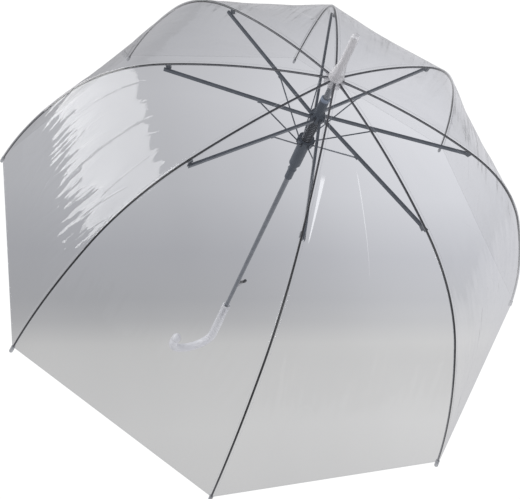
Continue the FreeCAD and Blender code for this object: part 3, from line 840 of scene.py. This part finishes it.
# The sweep's grey along a turned axis, which runs from its near side to its far side
SWEEP_TURN = math.atan2(-0.975, -0.223) - math.pi / 2
SWEEP = [(-0.4, (0.56, 0.56, 0.56)), (-0.2, (0.6, 0.6, 0.6)), (0.0, (0.56, 0.56, 0.56)),
         (0.06, (0.46, 0.463, 0.475)), (0.12, (0.42, 0.425, 0.445)),
         (0.25, (0.43, 0.436, 0.465)), (0.45, (0.52, 0.527, 0.557)),
         (0.8, (0.58, 0.585, 0.615)), (1.3, (0.5, 0.505, 0.53))]
SWEEP_CLOUDS = (0.93, 1.07)
# Across the sweep: (place, strength) at both sides. It takes effect as the sweep rises.
SIDE_FALL = ((-0.2, 0.89), (0.9, 1.4))
SIDE_FALL_RISES = (-0.06, 0.12)
SIDE_FALL_LEAST = 0.25
# What the film mirrors of the floor, from one side of the studio to the other, and how it
# fades with the distance from the object
MIRRORED = [(-1.3, 0.25), (-0.4, 0.5), (0.1, 0.6), (1.3, 0.85)]
MIRROR_FADES = (1.0, 6.0)
MIRROR_LEAST = 0.45


def placed_ramp(sh, socket, stops):
    """A colour ramp whose stops stand at places in metres."""
    first, last = stops[0][0], stops[-1][0]
    return sh.ramp(sh.mapped(socket, first, last),
                   [((at - first) / (last - first), colour) for at, colour in stops])


def sweep_light(sh, turned, across, depth):
    """The studio's grey sweep, with faint clouds, as it shows through the film."""
    (side_low, strength_low), (side_high, strength_high) = SIDE_FALL
    side = sh.mapped(across, side_low, side_high, strength_low, strength_high, eased=True)
    raised = sh.mapped(depth, *SIDE_FALL_RISES, SIDE_FALL_LEAST, 1.0, eased=True)
    fall = sh.math("MULTIPLY", sh.math("SUBTRACT", side, 1.0), raised)
    stretch = sh.node("ShaderNodeMapping")
    stretch.inputs["Scale"].default_value = (3.2, 0.9, 1)
    sh.link(turned, stretch.inputs["Vector"])
    clouds = sh.node("ShaderNodeTexNoise")
    clouds.inputs["Scale"].default_value = 1.0
    clouds.inputs["Detail"].default_value = 2.0
    sh.link(stretch.outputs["Vector"], clouds.inputs["Vector"])
    strength = sh.math("ADD", fall, sh.spread(clouds.outputs["Fac"], *SWEEP_CLOUDS))
    return sh.emission(placed_ramp(sh, depth, SWEEP), strength)


def mirrored_light(sh, place, across):
    """The duller floor that the film's gloss reflects."""
    tints = [(at, (v, v, v * 1.04)) for at, v in MIRRORED]
    far = sh.node("ShaderNodeVectorMath", operation="LENGTH")
    sh.link(place, far.inputs[0])
    fade = sh.mapped(far.outputs["Value"], *MIRROR_FADES, 1.0, MIRROR_LEAST, eased=True)
    return sh.emission(placed_ramp(sh, across, tints), fade)


def build_stage():
    """A floor that is plain white where it is seen directly, and only there.

    Rays that have passed through film see the studio's grey sweep in its place, which the
    photograph shows in the film though it is cut away round the object. Glossy rays see a
    duller floor.
    """
    sh = Shader("floor")
    place = sh.node("ShaderNodeTexCoord").outputs["Object"]
    mapping = sh.node("ShaderNodeMapping", vector_type="TEXTURE")
    mapping.inputs["Rotation"].default_value = (0, 0, SWEEP_TURN)
    sh.link(place, mapping.inputs["Vector"])
    turned = mapping.outputs["Vector"]
    split = sh.node("ShaderNodeSeparateXYZ")
    sh.link(turned, split.inputs["Vector"])
    across, depth = split.outputs["X"], split.outputs["Y"]
    path = sh.node("ShaderNodeLightPath")
    behind_film = sh.math("GREATER_THAN", path.outputs["Transparent Depth"], 0.5)
    seen = sh.mixed(behind_film, sh.emission((1, 1, 1, 1), FLOOR_WHITE),
                    sweep_light(sh, turned, across, depth))
    sh.surface(sh.mixed(path.outputs["Is Glossy Ray"], seen, mirrored_light(sh, place, across)))
    low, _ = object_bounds()
    corners = [(-FLOOR_HALF, -FLOOR_HALF), (FLOOR_HALF, -FLOOR_HALF),
               (FLOOR_HALF, FLOOR_HALF), (-FLOOR_HALF, FLOOR_HALF)]
    floor = new_object("floor", [Vector((x, y, low[2])) for x, y in corners], [(0, 1, 2, 3)],
                       sh.material)


def softbox(name, place, target, size, radiance):
    """A soft rectangular light whose face has a stated brightness."""
    light = bpy.data.lights.new(name, "AREA")
    light.shape = "RECTANGLE"
    light.size, light.size_y = size
    light.energy = radiance * math.pi * size[0] * size[1]
    thing = bpy.data.objects.new(name, light)
    thing.location = place
    aim = Vector(target) - Vector(place)
    thing.rotation_euler = aim.to_track_quat("-Z", "Y").to_euler()
    thing.visible_camera = False
    bpy.context.scene.collection.objects.link(thing)


def build_light():
    world = bpy.data.worlds.new("studio")
    bpy.context.scene.world = world
    world.use_nodes = True
    world.node_tree.nodes["Background"].inputs["Color"].default_value = (0.9, 0.92, 1.0, 1)
    world.node_tree.nodes["Background"].inputs["Strength"].default_value = 0.32
    softbox("key", (1.27, -1.41, 0.84), (0.28, -0.05, 0.84), (1.5, 1.42), 4.3)
    softbox("fill", (0.6, 1.7, 1.9), (0, 0, 0.4), (1.2, 1.0), 5.0)


CAMERA_AT = Vector((0.4312, 0.4820, 1.1548))
CAMERA_TURN = (28.570, -9.808, 162.275)
LENS = 42.49
SHIFT = (0.1350, 0.0937)


def build_camera():
    data = bpy.data.cameras.new("camera")
    data.sensor_width = 36.0
    data.lens = LENS
    data.shift_x, data.shift_y = SHIFT
    data.clip_start = 0.01
    camera = bpy.data.objects.new("camera", data)
    camera.location = CAMERA_AT
    camera.rotation_euler = [math.radians(a) for a in CAMERA_TURN]
    bpy.context.scene.collection.objects.link(camera)
    bpy.context.scene.camera = camera


finish_cad_nodes()
build_film()
build_ribs()
build_grip_collar()
build_spring()
build_stage()
build_light()
build_camera()
bpy.context.scene.view_settings.view_transform = "Standard"
